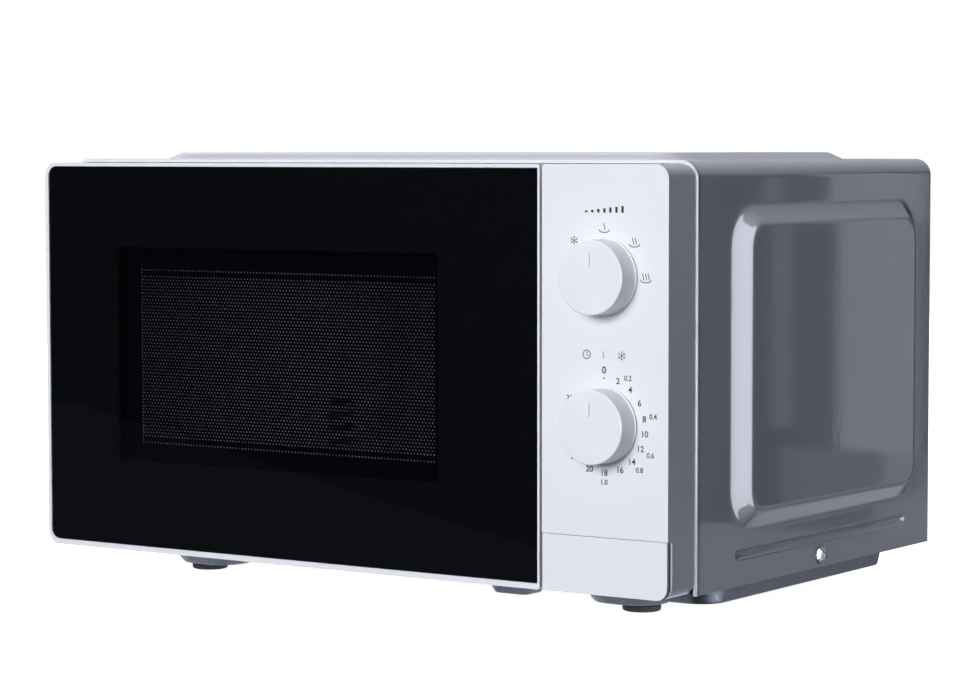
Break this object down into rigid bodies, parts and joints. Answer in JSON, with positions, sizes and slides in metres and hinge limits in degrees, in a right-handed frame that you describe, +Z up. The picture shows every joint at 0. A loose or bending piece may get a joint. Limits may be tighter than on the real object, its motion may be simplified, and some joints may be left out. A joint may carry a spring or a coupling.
{
  "type": "microwave oven",
  "caption": "Countertop microwave oven with a left-hinged glass door, rotary power and timer dials, a push-to-open button and a glass turntable in a steel cabinet",
  "frame": {"origin": "centre of the bounding box on the floor, under the feet", "axes": "+X is the oven's right seen from the front, -Y is the front with the door and dials, +Z is up"},
  "size_m": [0.454, 0.34, 0.2572],
  "materials": {
    "white_enamel": "gloss white baked enamel with a fine orange peel",
    "cavity_paint": "light grey epoxy paint",
    "zinc_sheet": "galvanised steel sheet",
    "bright_screw": "bright zinc plated steel",
    "spring_steel": "drawn spring wire",
    "lamination_steel": "varnished steel laminations",
    "copper_winding": "enamelled copper winding",
    "aluminium": "bare aluminium",
    "brass": "spun brass bell",
    "rubber": "moulded black rubber",
    "white_plastic": "gloss white moulded plastic",
    "grey_plastic": "dark grey moulded plastic",
    "black_plastic": "black moulded plastic",
    "natural_plastic": "unpainted moulded plastic",
    "black_paint": "black enamelled perforated steel",
    "door_glass": "tempered glass with a black printed border",
    "clear_film": "clear polyester film",
    "turntable_glass": "clear pressed soda glass",
    "mica": "mica sheet",
    "circuit_board": "circuit board",
    "bulb_glass": "clear lamp glass"
  },
  "bodies": {
    "cabinet": {"outer_wrapper": "white_enamel", "back_panel": "zinc_sheet", "base_pan": "zinc_sheet", "front_plate": "white_enamel", "cavity_shell": "cavity_paint", "foot_front_left": "rubber", "foot_front_right": "rubber", "foot_rear_left": "rubber", "foot_rear_right": "rubber", "side_screw_right": "bright_screw", "side_screw_left": "bright_screw", "rear_screw": "bright_screw", "cord_gland": "rubber", "hinge_bracket_bottom": "zinc_sheet", "hinge_bracket_top": "zinc_sheet", "button_spring": "spring_steel", "control_panel": "white_plastic", "timer_mechanism": "zinc_sheet", "timer_bell": "brass", "latch_board": "natural_plastic", "door_switch_upper": "grey_plastic", "door_switch_lower": "grey_plastic", "door_monitor_switch": "grey_plastic", "magnetron_body": "aluminium", "waveguide": "zinc_sheet", "mica_cover": "mica", "transformer_core": "lamination_steel", "transformer_winding": "copper_winding", "hv_capacitor": "aluminium", "capacitor_clamp": "zinc_sheet", "hv_diode": "black_plastic", "fan_motor": "lamination_steel", "fan_shroud": "grey_plastic", "lamp_holder": "natural_plastic", "cavity_lamp": "bulb_glass", "noise_filter_board": "circuit_board", "thermal_cutout": "black_plastic", "turntable_motor": "zinc_sheet"},
    "door": {"door_frame": "white_plastic", "door_glass": "door_glass", "door_panel": "zinc_sheet", "door_screen": "black_paint", "inner_window_film": "clear_film", "choke_cover": "grey_plastic", "latch_spring": "spring_steel"},
    "latch": {"door_latch": "natural_plastic"},
    "button": {"open_button": "white_plastic"},
    "lever": {"release_lever": "natural_plastic"},
    "power_dial": {"power_knob": "white_plastic", "power_shaft": "bright_screw"},
    "timer_dial": {"timer_knob": "white_plastic", "timer_shaft": "bright_screw"},
    "coupler": {"turntable_coupler": "natural_plastic"},
    "tray": {"glass_turntable": "turntable_glass"},
    "ring": {"roller_ring": "natural_plastic"},
    "wheel_1": {"roller_1": "natural_plastic"},
    "wheel_2": {"roller_2": "natural_plastic"},
    "wheel_3": {"roller_3": "natural_plastic"},
    "fan": {"fan_blade": "grey_plastic"}
  },
  "joints": [
    {"name": "door_hinge", "type": "hinge", "parent": "cabinet", "child": "door", "pos_m": [-0.2135, -0.136, 0.136], "axis": [0, 0, -1], "range_deg": [0, 100]},
    {"name": "latch_lift", "type": "slide", "parent": "door", "child": "latch", "axis": [0, 0, 1], "range_m": [0, 0.003], "deforming": ["latch_spring"]},
    {"name": "button_press", "type": "slide", "parent": "cabinet", "child": "button", "axis": [0, 1, 0], "range_m": [0, 0.0025], "stiffness_N_per_m": 500, "springref_m": -0.002, "deforming": ["button_spring"]},
    {"name": "lever_turn", "type": "hinge", "parent": "cabinet", "child": "lever", "pos_m": [0.1358, -0.121, 0.041], "axis": [1, 0, 0], "range_deg": [0, 17.6]},
    {"name": "power_turn", "type": "hinge", "parent": "cabinet", "child": "power_dial", "pos_m": [0.1795, -0.155, 0.1912], "axis": [0, 1, 0], "range_deg": [-90, 90]},
    {"name": "timer_turn", "type": "hinge", "parent": "cabinet", "child": "timer_dial", "pos_m": [0.1795, -0.155, 0.1115], "axis": [0, 1, 0], "range_deg": [0, 305]},
    {"name": "turntable_spin", "type": "hinge", "parent": "cabinet", "child": "coupler", "pos_m": [-0.043, 0.015, 0.038], "axis": [0, 0, 1], "continuous": true},
    {"name": "tray_lift", "type": "slide", "parent": "coupler", "child": "tray", "axis": [0, 0, 1], "range_m": [0, 0.03]},
    {"name": "ring_spin", "type": "hinge", "parent": "cabinet", "child": "ring", "pos_m": [-0.043, 0.015, 0.0381], "axis": [0, 0, 1], "continuous": true},
    {"name": "wheel_1_spin", "type": "hinge", "parent": "ring", "child": "wheel_1", "pos_m": [-0.043, 0.1065, 0.0381], "axis": [0, 1, 0], "continuous": true},
    {"name": "wheel_2_spin", "type": "hinge", "parent": "ring", "child": "wheel_2", "pos_m": [-0.12224, -0.03075, 0.0381], "axis": [-0.866, -0.5, 0], "continuous": true},
    {"name": "wheel_3_spin", "type": "hinge", "parent": "ring", "child": "wheel_3", "pos_m": [0.03624, -0.03075, 0.0381], "axis": [0.866, -0.5, 0], "continuous": true},
    {"name": "fan_spin", "type": "hinge", "parent": "cabinet", "child": "fan", "pos_m": [0.166, 0.139, 0.165], "axis": [0, 1, 0], "continuous": true}
  ],
  "couplings": [
    {"joint": "latch_lift", "follows": "button_press", "ratio": 1.2},
    {"joint": "lever_turn", "follows": "button_press", "rad_per_m": 122.2},
    {"joint": "ring_spin", "follows": "turntable_spin", "ratio": 0.5},
    {"joint": "wheel_1_spin", "follows": "turntable_spin", "ratio": -6.267},
    {"joint": "wheel_2_spin", "follows": "turntable_spin", "ratio": -6.267},
    {"joint": "wheel_3_spin", "follows": "turntable_spin", "ratio": -6.267}
  ]
}
